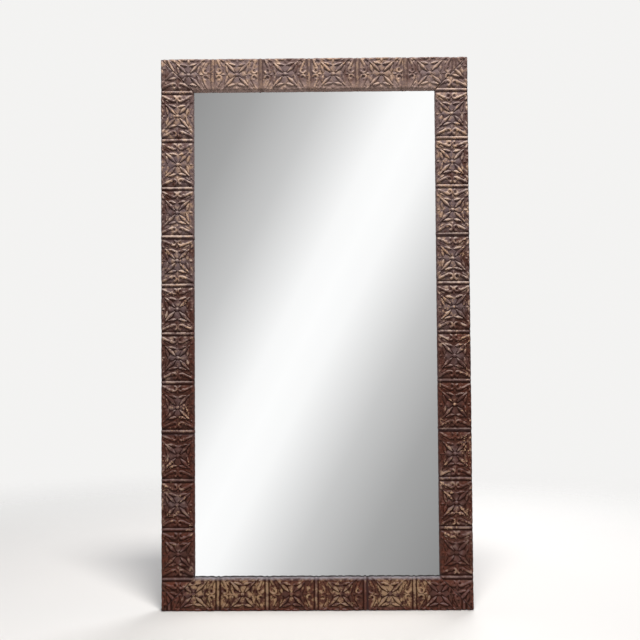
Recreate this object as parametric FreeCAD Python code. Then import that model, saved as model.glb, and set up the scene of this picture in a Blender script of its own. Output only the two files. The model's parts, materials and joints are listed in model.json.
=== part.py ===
import FreeCAD, Part
import math
import os

from FreeCAD import BoundBox, Matrix, Placement, Rotation, Vector

# Floor mirror in a timber frame clad with pressed tin.
# Axes: +Z up, +X to the right as seen from the front, +Y to the back, in millimetres.
# The origin is the middle of the face that the mirror stands on.

# Sight opening and frame section
opening_width = 762.0
opening_height = 1524.0
face_width = 103.0
core_depth = 35.0
reveal_depth = 12.0

# Pressed tin cladding: each sheet is folded round the timber
tin_thickness = 0.6
bend_radius = 5.0
sight_bend_radius = 9.0
flange_width = 12.0
lip_width = 8.0

# Stamped pattern of the tin
tile_pitch = 152.4
bead_width = 11.0
bead_height = 3.0
leaf_height = 3.2
scroll_height = 2.6
eye_height = 2.8
boss_height = 2.4
boss_sides = 6
eye_sides = 4
stile_bead_offset = 0.0
top_rail_bead_offset = 92.0
bottom_rail_bead_offset = 66.0

# Mirror plate and its seat
glass_thickness = 5.0
glass_arris = 1.0
glass_edge_gap = 3.0
glass_play = 0.2
rebate_width = 12.0
setting_block_length = 40.0

# Backing board, the battens on its front and its screws
board_thickness = 4.0
batten_width = 22.0
board_overlap = 28.0
board_corner_chamfer = 6.0
board_screw_inset = 14.0
board_screw_spacing = 410.0
board_screw_head_radius = 4.2
board_screw_head_height = 2.4
board_screw_shank_radius = 1.75
board_screw_length = 22.0
board_screw_tip = 4.0

# Screws of the corner laps
lap_screw_head_radius = 4.5
lap_screw_head_height = 2.6
lap_screw_shank_radius = 2.2
lap_screw_length = 29.0
lap_screw_tip = 5.0

# Strap hangers on the back of the stiles
hanger_drop = 430.0
strap_width = 16.0
strap_thickness = 1.2
strap_end_margin = 8.0
strap_screw_gap = 6.0
strap_screw_pitch = 17.0
strap_screw_head_radius = 4.0
strap_screw_head_height = 2.2
strap_screw_shank_radius = 2.0
strap_screw_length = 24.0
strap_screw_tip = 4.0
knuckle_lift = 0.4
ring_wire_radius = 2.0
ring_corner_radius = 4.5
ring_side_gap = 1.5
ring_side_length = 5.0
ring_clearance = 0.08
ring_sides = 6
ring_bow_runs = 6

# Wall bumpers
bumper_width = 18.0
bumper_thickness = 8.0
bumper_chamfer = 1.5
bumper_margin = 3.0

# Sides of a fastener, the room round its shank, and how far a cutter runs past what it cuts
fastener_sides = 6
fastener_clearance = 0.1
overrun = 5.0

# Motif of a quarter tile, in shares of half a pitch: first along the strip, then across it
diagonal_leaf_shares = ((0.10, 0.10), (0.42, 0.42))
side_leaf_shares = ((0.40, 0.10), (0.50, 0.45))
scroll_tail_shares = ((0.87, 0.55), (0.62, 0.17))
scroll_eye_shares = (0.76, 0.15)
leaf_width_share = 0.17
side_leaf_width_share = 0.13
scroll_width_share = 0.11
eye_radius_share = 0.10
boss_radius_share = 0.07
bead_crown_share = 0.4

# Cut corners at a strap's foot, as a share of half its width
strap_toe_share = 0.5

# A domed head's rings between its rim and its top, as shares of its radius and its height
dome_shares = ((0.55, 1.0),)

# Joints between sheets, in shares of the way from a strip's first bead to its last
stile_joint_shares = (0.3, 0.7)
top_rail_joint_shares = (0.0, 0.75)
bottom_rail_joint_shares = (0.75,)

# Screws of a corner lap, in shares of the face width from the two outer edges
lap_screw_shares = ((0.30, 0.70), (0.70, 0.30))

# Sizes and places that follow
outer_width = opening_width + 2 * face_width
outer_height = opening_height + 2 * face_width
middle_height = outer_height / 2
frame_depth = core_depth + 2 * tin_thickness
front = -frame_depth / 2
flange_back = frame_depth / 2
core_front = front + tin_thickness
core_back = flange_back - tin_thickness
glass_front = front + reveal_depth
shoulder = glass_front - tin_thickness
seat_back = glass_front + glass_thickness + glass_play
recess_width = opening_width + 2 * rebate_width
recess_height = opening_height + 2 * rebate_width
plate_width = recess_width - 2 * glass_edge_gap
plate_height = recess_height - 2 * glass_edge_gap
board_width = recess_width + 2 * board_overlap
board_height = recess_height + 2 * board_overlap
board_back = core_back + board_thickness
half_pitch = tile_pitch / 2
knuckle_bore = ring_wire_radius + ring_clearance
knuckle_radius = knuckle_bore + strap_thickness
ring_axis_rise = knuckle_radius + knuckle_lift
ring_half_width = strap_width / 2 + ring_side_gap + ring_corner_radius
ring_drop = ring_corner_radius + ring_side_length + ring_half_width
upper_strap_screw = ring_drop + ring_wire_radius + strap_screw_gap + strap_screw_head_radius
lower_strap_screw = upper_strap_screw + strap_screw_pitch
strap_length = lower_strap_screw + strap_end_margin
free_back_width = face_width - rebate_width - board_overlap
hanger_x = outer_width / 2 - (flange_width + free_back_width) / 2
hanger_z = outer_height - hanger_drop
bumper_inset = flange_width + bumper_margin + bumper_width / 2

up = Vector(0, 0, 1)
right = Vector(1, 0, 0)
back = Vector(0, 1, 0)


def save(name, shapes):
    """Write one node: a single solid, or a group of like solids."""
    solids = [solid for shape in shapes for solid in shape.Solids]
    node = solids[0] if len(solids) == 1 else Part.makeCompound(solids)
    node.exportStep(os.path.join("parts", name + ".step"))


def block(low, high):
    """Box between two opposite corners."""
    size = high - low
    return Part.makeBox(size.x, size.y, size.z, low)


def centred_slab(width, height, y_front, y_back):
    """Upright box centred on the sight opening."""
    low = Vector(-width / 2, y_front, middle_height - height / 2)
    return block(low, Vector(width / 2, y_back, middle_height + height / 2))


def line(start, end):
    return Part.LineSegment(start, end).toShape()


def arc(start, middle, end):
    return Part.Arc(start, middle, end).toShape()


def rounded_face(corners):
    """Face inside (point, radius) corners, each rounded by its own radius."""
    edges = []
    ends = []
    for index, (point, radius) in enumerate(corners):
        before = (corners[index - 1][0] - point).normalize()
        after = (corners[(index + 1) % len(corners)][0] - point).normalize()
        half_angle = before.getAngle(after) / 2
        reach = radius / math.tan(half_angle)
        ends.append((point + before * reach, point + after * reach))
        if radius:
            crown = (before + after).normalize() * (radius / math.sin(half_angle) - radius)
            edges.append(arc(ends[-1][0], point + crown, ends[-1][1]))
    for (entry, leave), (following, leave_following) in zip(ends, ends[1:] + ends[:1]):
        edges.append(line(leave, following))
    return Part.Face(Part.Wire(Part.__sortEdges__(edges)))


def ring_of(radius, height, sides):
    """Corners of a level polygon round Z, or the one point of a ring with no radius."""
    if not radius:
        return [Vector(0, 0, height)]
    turns = [2 * math.pi * index / sides for index in range(sides)]
    return [Vector(radius * math.cos(turn), radius * math.sin(turn), height) for turn in turns]


def flat_face(points):
    return Part.Face(Part.makePolygon(points + points[:1]))


def faceted(rings, sides):
    """Many-sided solid round Z through (radius, height) rings from its foot to its top."""
    levels = [ring_of(radius, height, sides) for radius, height in rings]
    faces = [flat_face(level) for level in (levels[0], levels[-1]) if len(level) > 1]
    for low, high in zip(levels, levels[1:]):
        for index in range(sides):
            following = (index + 1) % sides
            if len(low) == 1:
                faces.append(flat_face([low[0], high[following], high[index]]))
            elif len(high) == 1:
                faces.append(flat_face([low[index], low[following], high[0]]))
            else:
                faces.append(flat_face([low[index], low[following], high[following], high[index]]))
    return Part.makeSolid(Part.makeShell(faces))


def shank_rings(radius, length, tip):
    """Rings of a straight shank, from its point up to its neck."""
    return [(0, -length), (radius, tip - length)]


def domed_fastener(head_radius, head_height, shank_radius, length, tip):
    """Screw along Z with a domed head that is seated at z = 0."""
    dome = [(head_radius * reach, head_height * rise) for reach, rise in dome_shares]
    head = [(shank_radius, 0), (head_radius, 0), *dome]
    return faceted(shank_rings(shank_radius, length, tip) + head, fastener_sides)


def flush_fastener(head_radius, head_height, shank_radius, length, tip):
    """Countersunk screw along Z with its head flush at z = 0."""
    head = [(shank_radius, -head_height), (head_radius, 0)]
    return faceted(shank_rings(shank_radius, length, tip) + head, fastener_sides)


def shank_hole(shank_radius, length):
    """Cutter for the shank of a fastener that is seated at z = 0."""
    radius = shank_radius + fastener_clearance
    return faceted([(radius, -length - fastener_clearance), (radius, overrun)], fastener_sides)


def countersink(head_radius, head_height, shank_radius):
    """Cutter for a flush head, with room all round it."""
    foot = shank_radius + fastener_clearance
    mouth = head_radius + fastener_clearance
    return faceted([(foot, -head_height), (mouth, 0)], fastener_sides)


def on_back(shape, places):
    """Copies of a shape made along Z, each turned to point out of the back at its place."""
    copies = []
    for place in places:
        copy = shape.copy()
        copy.rotate(Vector(), right, -90)
        copy.translate(place)
        copies.append(copy)
    return copies


def all_corners(x, y, z):
    """A place on the lower right of the back, with its images in the other three corners."""
    return [Vector(side * x, y, height) for side in (-1, 1) for height in (z, outer_height - z)]


def even_places(length, spacing):
    """Places from end to end of a centred length, no further apart than the spacing."""
    spans = math.ceil(length / spacing)
    return [length * (index / spans - 1 / 2) for index in range(spans + 1)]


# Timber core

def core_blank():
    """The four timbers as one frame, eased in front and rebated behind."""
    skins = 2 * tin_thickness
    middle = (core_front + core_back) / 2
    blank = centred_slab(outer_width - skins, outer_height - skins, core_front, core_back)
    outer_edges = [edge for edge in blank.Edges if edge.BoundBox.YMax < middle]
    blank = blank.makeChamfer(bend_radius, outer_edges)
    sight_width, sight_height = opening_width + skins, opening_height + skins
    blank = blank.cut(centred_slab(sight_width, sight_height, core_front - overrun, core_back + overrun))
    low, high = face_width / 2, outer_height - face_width / 2
    inside = BoundBox(-recess_width / 2, front, low, recess_width / 2, middle, high)
    sight_edges = [edge for edge in blank.Edges if inside.isInside(edge.BoundBox)]
    blank = blank.makeChamfer(sight_bend_radius, sight_edges)
    return blank.cut(centred_slab(recess_width, recess_height, shoulder, core_back + overrun))


def rail_zone(base):
    """Space of a rail: the front half of its two corner laps, and all of it between the stiles."""
    lap = (core_front + core_back) / 2
    top = base + face_width
    laps = block(Vector(-outer_width / 2, front, base), Vector(outer_width / 2, lap, top))
    inner = opening_width / 2 + tin_thickness
    between = block(Vector(-inner, front, base), Vector(inner, flange_back, top))
    return laps.fuse(between)


def core_members(cutters):
    """Stiles and rails by name, with every fastener's hole cut in them."""
    blank = core_blank()
    bottom_zone = rail_zone(0)
    top_zone = rail_zone(outer_height - face_width)
    stiles = blank.cut([bottom_zone, top_zone]).Solids
    left_stile, right_stile = sorted(stiles, key=lambda solid: solid.CenterOfMass.x)
    members = {
        "core_stile_left": left_stile,
        "core_stile_right": right_stile,
        "core_rail_top": blank.common(top_zone),
        "core_rail_bottom": blank.common(bottom_zone),
    }
    return {name: member.cut(cutters) for name, member in members.items()}


def lap_screw_places():
    """Centres of the screws in the four corner laps."""
    places = []
    for across_share, up_share in lap_screw_shares:
        x = outer_width / 2 - across_share * face_width
        places.extend(all_corners(x, core_back, up_share * face_width))
    return places


# Pressed tin. A strip is drawn with X along it, Y across it towards the opening and Z out of its face.

def tin_section(start):
    """Folded section: back flange, outer side, face, reveal, and the lip that the plate presses on."""
    half = face_width / 2
    skin = tin_thickness
    flange_end = flange_width - half
    lip_end = half - lip_width
    corners = [
        (flange_end, -frame_depth, 0),
        (-half, -frame_depth, 0),
        (-half, 0, bend_radius),
        (half, 0, sight_bend_radius),
        (half, -reveal_depth, 0),
        (lip_end, -reveal_depth, 0),
        (lip_end, skin - reveal_depth, 0),
        (half - skin, skin - reveal_depth, 0),
        (half - skin, -skin, sight_bend_radius - skin),
        (skin - half, -skin, bend_radius - skin),
        (skin - half, skin - frame_depth, 0),
        (flange_end, skin - frame_depth, 0),
    ]
    return rounded_face([(Vector(start, across, out), radius) for across, out, radius in corners])


def pyramid(foot, peak):
    """Solid with a polygon for its foot and a point for its top."""
    sides = [flat_face([first, second, peak]) for first, second in zip(foot, foot[1:] + foot[:1])]
    return Part.makeSolid(Part.makeShell([flat_face(foot), *sides]))


def crested_leaf(first, second, width, height):
    """Pressed leaf between two points, with a crest in its middle."""
    centre = (first + second) / 2
    side = (second - first).normalize().cross(up) * (width / 2)
    return pyramid([first, centre + side, second, centre - side], centre + up * height)


def stud(centre, radius, height, sides):
    """Low pointed button."""
    return pyramid([centre + corner for corner in ring_of(radius, 0, sides)], centre + up * height)


def bead(place):
    """Raised bead across the flat of the face, between two tiles."""
    root = -tin_thickness / 2
    outer_end = bend_radius - face_width / 2
    length = face_width - bend_radius - sight_bend_radius
    foot = bead_width / 2
    crown = foot * bead_crown_share
    section = [(-foot, root), (foot, root), (crown, bead_height), (-crown, bead_height)]
    corners = [Vector(place + along, outer_end, out) for along, out in section]
    return flat_face(corners).extrude(Vector(0, length, 0))


def tile(centre):
    """Stamped motif of one tile: leaves on and beside the diagonals, scrolls by the beads, a centre boss."""
    root = -tin_thickness / 2
    middle = Vector(centre, 0, root)
    across_leaf_shares = [shares[::-1] for shares in side_leaf_shares]
    leaves = [
        (diagonal_leaf_shares, leaf_width_share, leaf_height),
        (side_leaf_shares, side_leaf_width_share, leaf_height),
        (across_leaf_shares, side_leaf_width_share, leaf_height),
        (scroll_tail_shares, scroll_width_share, scroll_height),
    ]
    solids = [stud(middle, boss_radius_share * half_pitch, boss_height - root, boss_sides)]
    for along, across in ((1, 1), (1, -1), (-1, 1), (-1, -1)):
        quarter = Vector(along, across, 0) * half_pitch
        for (first, second), width_share, height in leaves:
            start = middle + Vector(quarter.x * first[0], quarter.y * first[1], 0)
            end = middle + Vector(quarter.x * second[0], quarter.y * second[1], 0)
            solids.append(crested_leaf(start, end, width_share * half_pitch, height - root))
        eye = middle + Vector(quarter.x * scroll_eye_shares[0], quarter.y * scroll_eye_shares[1], 0)
        solids.append(stud(eye, eye_radius_share * half_pitch, eye_height - root, eye_sides))
    return solids


def mitre_zone(inner_length):
    """Space between the two mitres of a strip."""
    inner = inner_length / 2 - overrun
    outer = inner_length / 2 + face_width + overrun
    reach = face_width / 2 + overrun
    floor = -frame_depth - overrun
    corners = [(-outer, -reach), (outer, -reach), (inner, reach), (-inner, reach)]
    points = [Vector(along, across, floor) for along, across in corners]
    tallest = max(bead_height, leaf_height, scroll_height, eye_height, boss_height)
    height = frame_depth + tallest + 2 * overrun
    return flat_face(points).extrude(up * height)


def tin_strip(inner_length, bead_offset, joint_shares):
    """Sheets of one side of the frame, in their order along it."""
    end = inner_length / 2 + face_width
    first_bead = bead_offset - inner_length / 2
    rounding_share = tin_thickness / tile_pitch
    last_index = math.floor((inner_length - bead_offset) / tile_pitch + rounding_share)
    beads = [first_bead + index * tile_pitch for index in range(last_index + 1)]
    tiles_before = math.ceil((first_bead + end) / tile_pitch)
    tiles_after = math.ceil((end - first_bead) / tile_pitch)
    centres = [first_bead + index * tile_pitch + half_pitch for index in range(-tiles_before, tiles_after)]
    joints = [beads[round(share * last_index)] + bead_width / 2 for share in joint_shares]
    limits = [-end, *joints, end]
    zone = mitre_zone(inner_length)
    sheets = []
    for low, high in zip(limits, limits[1:]):
        relief = [bead(place) for place in beads if low < place < high]
        for centre in centres:
            if low < centre < high:
                relief.extend(tile(centre))
        sheet = tin_section(low).extrude(right * (high - low)).multiFuse(relief)
        sheets.append(sheet.common(zone))
    return sheets


def strip_placement(along, across, x, z):
    """Place of a strip whose own axes are along, across and out of the face."""
    out = -back
    return Placement(Matrix(
        along.x, across.x, out.x, x,
        along.y, across.y, out.y, front,
        along.z, across.z, out.z, z,
    ))


def cladding():
    """Tin sheets of all four sides by name."""
    stile = tin_strip(opening_height, stile_bead_offset, stile_joint_shares)
    top = tin_strip(opening_width, top_rail_bead_offset, top_rail_joint_shares)
    bottom = tin_strip(opening_width, bottom_rail_bead_offset, bottom_rail_joint_shares)
    stile_x = (opening_width + face_width) / 2
    low = face_width / 2
    high = outer_height - low
    strips = [
        ("stile_left", ("upper", "middle", "lower"), stile, (-up, right, -stile_x, middle_height)),
        ("stile_right", ("lower", "middle", "upper"), stile, (up, -right, stile_x, middle_height)),
        ("rail_top", ("right", "middle", "left"), top, (-right, -up, 0, high)),
        ("rail_bottom", ("left", "right"), bottom, (right, up, 0, low)),
    ]
    sheets = {}
    for side, names, pieces, position in strips:
        for name, piece in zip(names, pieces):
            sheets[f"tin_{side}_{name}"] = piece.copy()
            sheets[f"tin_{side}_{name}"].Placement = strip_placement(*position)
    return sheets


# Mirror plate, setting blocks and backing board

def mirror_plate():
    """Silvered plate with its sharp edges taken off."""
    plate = centred_slab(plate_width, plate_height, glass_front, glass_front + glass_thickness)
    rims = [edge for edge in plate.Edges if edge.BoundBox.YLength < glass_thickness / 2]
    return plate.makeChamfer(glass_arris, rims)


def setting_blocks():
    """Two pads that carry the plate's lower edge."""
    floor = face_width - rebate_width
    pads = []
    for middle in (-recess_width / 4, recess_width / 4):
        low = Vector(middle - setting_block_length / 2, shoulder, floor)
        high = Vector(middle + setting_block_length / 2, seat_back, floor + glass_edge_gap)
        pads.append(block(low, high))
    return pads


def board_screw_places():
    """Screws round the edge of the backing board."""
    width = board_width - 2 * board_screw_inset
    height = board_height - 2 * board_screw_inset
    places = []
    for x in even_places(width, board_screw_spacing):
        places.extend(Vector(x, board_back, middle_height + side * height / 2) for side in (-1, 1))
    for rise in even_places(height, board_screw_spacing)[1:-1]:
        places.extend(Vector(side * width / 2, board_back, middle_height + rise) for side in (-1, 1))
    return places


def backing_board(cutters):
    """Board that closes the back, with a ring of battens that presses the plate to its seat."""
    board = centred_slab(board_width, board_height, core_back, board_back)
    corners = [edge for edge in board.Edges if edge.BoundBox.YLength > board_thickness / 2]
    board = board.makeChamfer(board_corner_chamfer, corners)
    inner_width, inner_height = plate_width - 2 * batten_width, plate_height - 2 * batten_width
    battens = centred_slab(plate_width, plate_height, seat_back, core_back)
    battens = battens.cut(centred_slab(inner_width, inner_height, seat_back - overrun, core_back))
    return board.fuse(battens).cut(cutters)


# Strap hangers, drawn round the ring's axis

def strap_screw_places():
    """Screws of both straps."""
    seat = core_back + strap_thickness
    drops = (upper_strap_screw, lower_strap_screw)
    return [Vector(side * hanger_x, seat, hanger_z - drop) for side in (-1, 1) for drop in drops]


def hanger_strap():
    """Plate with a rolled knuckle at its top for the ring's bar."""
    half = strap_width / 2
    seat = -ring_axis_rise
    toe = half * strap_toe_share
    shoulder_end = toe - strap_length
    outline = [(-half, 0), (-half, shoulder_end), (toe - half, -strap_length)]
    outline += [(-x, z) for x, z in reversed(outline)]
    plate = flat_face([Vector(x, seat, z) for x, z in outline]).extrude(back * strap_thickness)
    knuckle = Part.makeCylinder(knuckle_radius, strap_width, Vector(-half, 0, 0), right)
    bore = Part.makeCylinder(knuckle_bore, strap_width + 2 * overrun, Vector(-half - overrun, 0, 0), right)
    return plate.fuse(knuckle).cut(bore)


def hanger_ring():
    """Wire ring hanging from a straight round bar on its axis, its bow bent in short runs."""
    bar_end = ring_half_width - ring_corner_radius
    side_end = -ring_corner_radius - ring_side_length
    points = [Vector(bar_end, 0, 0), Vector(ring_half_width, 0, -ring_corner_radius)]
    for index in range(ring_bow_runs + 1):
        turn = math.pi * index / ring_bow_runs
        points.append(Vector(math.cos(turn), 0, -math.sin(turn)) * ring_half_width + up * side_end)
    points += [Vector(-ring_half_width, 0, -ring_corner_radius), Vector(-bar_end, 0, 0)]
    corners = ring_of(ring_wire_radius, 0, ring_sides)
    section = Part.makePolygon(corners + corners[:1])
    section.Placement = Placement(points[0], Rotation(up, points[1] - points[0]))
    sharp_corners = 1
    bow = Part.makePolygon(points).makePipeShell([section], True, False, sharp_corners)
    bar = Part.makeCylinder(ring_wire_radius, 2 * bar_end, Vector(-bar_end, 0, 0), right)
    return bow.fuse(bar)


def hangers(cutters):
    """Straps and rings of both stiles by name."""
    nodes = {}
    for name, side in (("left", -1), ("right", 1)):
        axis = Vector(side * hanger_x, core_back + ring_axis_rise, hanger_z)
        strap = hanger_strap()
        strap.translate(axis)
        ring = hanger_ring()
        ring.translate(axis)
        nodes[f"hanger_strap_{name}"] = strap.cut(cutters)
        nodes[f"hanger_ring_{name}"] = ring
    return nodes


def wall_bumpers():
    """Square pads on the back corners."""
    half = bumper_width / 2
    pad = block(Vector(-half, -half, 0), Vector(half, half, bumper_thickness))
    rim = [edge for edge in pad.Edges if edge.BoundBox.ZMin > bumper_thickness / 2]
    places = all_corners(outer_width / 2 - bumper_inset, core_back, bumper_inset)
    return on_back(pad.makeChamfer(bumper_chamfer, rim), places)


os.makedirs("parts", exist_ok=True)

lap_screw = flush_fastener(
    lap_screw_head_radius,
    lap_screw_head_height,
    lap_screw_shank_radius,
    lap_screw_length,
    lap_screw_tip,
)
board_screw = domed_fastener(
    board_screw_head_radius,
    board_screw_head_height,
    board_screw_shank_radius,
    board_screw_length,
    board_screw_tip,
)
strap_screw = domed_fastener(
    strap_screw_head_radius,
    strap_screw_head_height,
    strap_screw_shank_radius,
    strap_screw_length,
    strap_screw_tip,
)

board_holes = on_back(shank_hole(board_screw_shank_radius, board_screw_length), board_screw_places())
strap_holes = on_back(shank_hole(strap_screw_shank_radius, strap_screw_length), strap_screw_places())
lap_hole = shank_hole(lap_screw_shank_radius, lap_screw_length)
lap_sink = countersink(lap_screw_head_radius, lap_screw_head_height, lap_screw_shank_radius)
lap_holes = on_back(lap_hole, lap_screw_places()) + on_back(lap_sink, lap_screw_places())

for name, member in core_members(board_holes + strap_holes + lap_holes).items():
    save(name, [member])
for name, sheet in cladding().items():
    save(name, [sheet])
for name, piece in hangers(strap_holes).items():
    save(name, [piece])
save("mirror_plate", [mirror_plate()])
save("setting_blocks", setting_blocks())
save("backing_board", [backing_board(board_holes)])
save("board_screws", on_back(board_screw, board_screw_places()))
save("lap_screws", on_back(lap_screw, lap_screw_places()))
save("strap_screws", on_back(strap_screw, strap_screw_places()))
save("wall_bumpers", wall_bumpers())
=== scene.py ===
import json
import math

import bmesh
import bpy
from mathutils import Matrix, Quaternion, Vector


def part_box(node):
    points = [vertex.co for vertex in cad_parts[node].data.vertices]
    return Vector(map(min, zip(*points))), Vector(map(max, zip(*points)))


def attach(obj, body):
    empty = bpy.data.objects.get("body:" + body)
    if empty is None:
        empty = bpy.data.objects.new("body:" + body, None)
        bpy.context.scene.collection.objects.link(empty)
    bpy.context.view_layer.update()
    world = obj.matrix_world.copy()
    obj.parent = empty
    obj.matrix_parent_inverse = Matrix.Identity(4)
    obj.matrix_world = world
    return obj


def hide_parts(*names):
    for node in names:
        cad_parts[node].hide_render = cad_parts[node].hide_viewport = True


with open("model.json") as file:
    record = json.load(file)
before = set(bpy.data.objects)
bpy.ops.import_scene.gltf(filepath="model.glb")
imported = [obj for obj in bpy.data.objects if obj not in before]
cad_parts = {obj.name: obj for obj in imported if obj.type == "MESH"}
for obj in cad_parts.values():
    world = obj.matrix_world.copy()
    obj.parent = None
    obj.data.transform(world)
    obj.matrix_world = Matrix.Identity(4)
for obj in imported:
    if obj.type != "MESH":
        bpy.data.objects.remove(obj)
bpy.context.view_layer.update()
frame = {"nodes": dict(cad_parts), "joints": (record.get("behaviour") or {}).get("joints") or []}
scene = bpy.context.scene
scene.view_settings.view_transform = "Standard"
print("frame loaded,", len(frame["nodes"]), "nodes")

quarterTurn = math.pi / 2
nearZero = 0.001


# node helpers

def feed(tree, socket, value):
    if isinstance(value, Wire):
        value = value.socket
    if isinstance(value, bpy.types.NodeSocket):
        tree.links.new(value, socket)
    else:
        socket.default_value = value


def addNode(tree, kind, inputs=None, **settings):
    node = tree.nodes.new(kind)
    for key, value in settings.items():
        setattr(node, key, value)
    for key, value in (inputs or {}).items():
        feed(tree, node.inputs[key], value)
    return node


class Wire:
    # a number running through a node tree, so that sums read as sums
    def __init__(self, tree, socket):
        self.tree, self.socket = tree, socket

    def math(self, operation, *others):
        node = addNode(self.tree, "ShaderNodeMath", operation=operation)
        for socket, value in zip(node.inputs, (self, *others)):
            feed(self.tree, socket, value)
        return Wire(self.tree, node.outputs[0])

    def ramp(self, low, high, start=0.0, end=1.0, kind="LINEAR"):
        inputs = {0: self, 1: low, 2: high, 3: start, 4: end}
        node = addNode(self.tree, "ShaderNodeMapRange", inputs, interpolation_type=kind)
        return Wire(self.tree, node.outputs[0])

    def smooth(self, low, high, start=0.0, end=1.0):
        return self.ramp(low, high, start, end, "SMOOTHSTEP")

    def falling(self, low, high):
        return self.smooth(low, high, 1.0, 0.0)

    def clamped(self, low=0.0, high=1.0):
        return self.math("MAXIMUM", low).math("MINIMUM", high)

    def rounded(self):
        # bends a straight rise from 0 to 1 into a round one
        return self * (2.0 - self)

    def __add__(self, other):
        return self.math("ADD", other)

    def __sub__(self, other):
        return self.math("SUBTRACT", other)

    def __mul__(self, other):
        return self.math("MULTIPLY", other)

    def __truediv__(self, other):
        return self.math("DIVIDE", other)

    def __neg__(self):
        return self.math("MULTIPLY", -1.0)

    def __rsub__(self, other):
        return (-self).math("ADD", other)

    __radd__ = __add__
    __rmul__ = __mul__


def hypot(one, two):
    return (one * one + two * two).math("SQRT")


def highest(first, *others):
    for other in others:
        first = first.math("MAXIMUM", other)
    return first


def constant(tree, number):
    node = addNode(tree, "ShaderNodeValue")
    node.outputs[0].default_value = number
    return Wire(tree, node.outputs[0])


def split(tree, vector):
    node = addNode(tree, "ShaderNodeSeparateXYZ", {0: vector})
    return [Wire(tree, socket) for socket in node.outputs]


def joined(tree, *parts):
    return addNode(tree, "ShaderNodeCombineXYZ", dict(enumerate(parts))).outputs[0]


def scaled(tree, vector, length):
    return addNode(tree, "ShaderNodeVectorMath", {0: vector, "Scale": length}, operation="SCALE").outputs[0]


def summed(tree, one, two):
    return addNode(tree, "ShaderNodeVectorMath", {0: one, 1: two}, operation="ADD").outputs[0]


def noise(tree, vector, scale, detail=2.0, roughness=0.5):
    inputs = {"Vector": vector, "Scale": scale, "Detail": detail, "Roughness": roughness}
    return Wire(tree, addNode(tree, "ShaderNodeTexNoise", inputs).outputs[0])


def blended(tree, share, first, second):
    node = addNode(tree, "ShaderNodeMix", data_type="RGBA")
    for index, value in ((0, share), (6, first), (7, second)):
        feed(tree, node.inputs[index], value)
    return node.outputs[2]


def linear(level):
    share = level / 255
    return share / 12.92 if share < 0.04045 else ((share + 0.055) / 1.055) ** 2.4


def srgb(red, green, blue):
    return linear(red), linear(green), linear(blue), 1.0


def newTree(name, kind, inputs, outputs):
    tree = bpy.data.node_groups.new(name, kind)
    for label, socketType in inputs:
        tree.interface.new_socket(label, in_out="INPUT", socket_type="NodeSocket" + socketType)
    for label, socketType in outputs:
        tree.interface.new_socket(label, in_out="OUTPUT", socket_type="NodeSocket" + socketType)
    return tree, addNode(tree, "NodeGroupInput").outputs, addNode(tree, "NodeGroupOutput").inputs


def finishTree(tree, geometry, given, result):
    realized = addNode(tree, "GeometryNodeRealizeInstances", {0: geometry}).outputs[0]
    painted = addNode(tree, "GeometryNodeSetMaterial", {"Geometry": realized, "Material": given["Material"]})
    feed(tree, result["Geometry"], painted.outputs[0])


# object helpers

def newObject(name, data):
    piece = bpy.data.objects.new(name, data)
    scene.collection.objects.link(piece)
    return piece


def shapeObject(name, shape):
    mesh = bpy.data.meshes.new(name)
    shape.to_mesh(mesh)
    shape.free()
    return newObject(name, mesh)


def settle(piece):
    # leaves the plain mesh that the piece's modifiers make
    made = piece.evaluated_get(bpy.context.evaluated_depsgraph_get())
    mesh = bpy.data.meshes.new_from_object(made)
    piece.modifiers.clear()
    piece.data = mesh


def runTree(piece, tree, inputs, sheetThickness=0.0):
    modifier = piece.modifiers.new("shape", "NODES")
    modifier.node_group = tree
    for item in tree.interface.items_tree:
        if item.in_out == "INPUT" and item.name in inputs:
            modifier[item.identifier] = inputs[item.name]
    if sheetThickness:
        wall = piece.modifiers.new("wall", "SOLIDIFY")
        wall.thickness, wall.offset = sheetThickness, -1.0
    settle(piece)


def evenPlaces(low, high, count):
    return [low + (high - low) * index / (count - 1) for index in range(count)]


# finishes

def newMaterial(name):
    material = bpy.data.materials.new(name)
    material.use_nodes = True
    tree = material.node_tree
    shader = tree.nodes["Principled BSDF"]
    place = addNode(tree, "ShaderNodeTexCoord").outputs["Object"]
    return material, tree, shader, place


def dress(tree, shader, look, colour, mask, height):
    least, spread = look["roughness"]
    bump = addNode(tree, "ShaderNodeBump", {"Height": height, "Distance": look["bump"]})
    feed(tree, shader.inputs["Base Color"], colour)
    feed(tree, shader.inputs["Roughness"], mask * spread + least)
    feed(tree, shader.inputs["Normal"], bump.outputs[0])


def weighed(masks, weights):
    return sum(masks[name] * weight for name, weight in weights.items())


grainLook = {
    "stretch": (0.06, 1.0, 1.0), "streakNoise": (4.0, 0.6), "streak": (0.3, 0.7),
    "fibreNoise": (2.0, 0.6), "fibre": (0.35, 0.7),
}
speckLook = {"details": {"Blotch": 3.0, "Fleck": 3.0, "Grit": 4.0}, "roughness": 0.55}


def makeGrainGroup():
    # long streaks down local X, with finer fibre over them
    tree, given, result = newTree(
        "grain", "ShaderNodeTree",
        [("Vector", "Vector"), ("Streaks", "Float"), ("Fibre", "Float")],
        [("Streak", "Float"), ("Fibre", "Float")])
    look = grainLook
    stretched = addNode(
        tree, "ShaderNodeVectorMath", {0: given["Vector"], 1: look["stretch"]}, operation="MULTIPLY").outputs[0]
    streak = noise(tree, stretched, given["Streaks"], *look["streakNoise"])
    fibre = noise(tree, stretched, given["Fibre"], *look["fibreNoise"])
    feed(tree, result["Streak"], streak.smooth(*look["streak"]))
    feed(tree, result["Fibre"], fibre.smooth(*look["fibre"]))
    return tree


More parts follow.
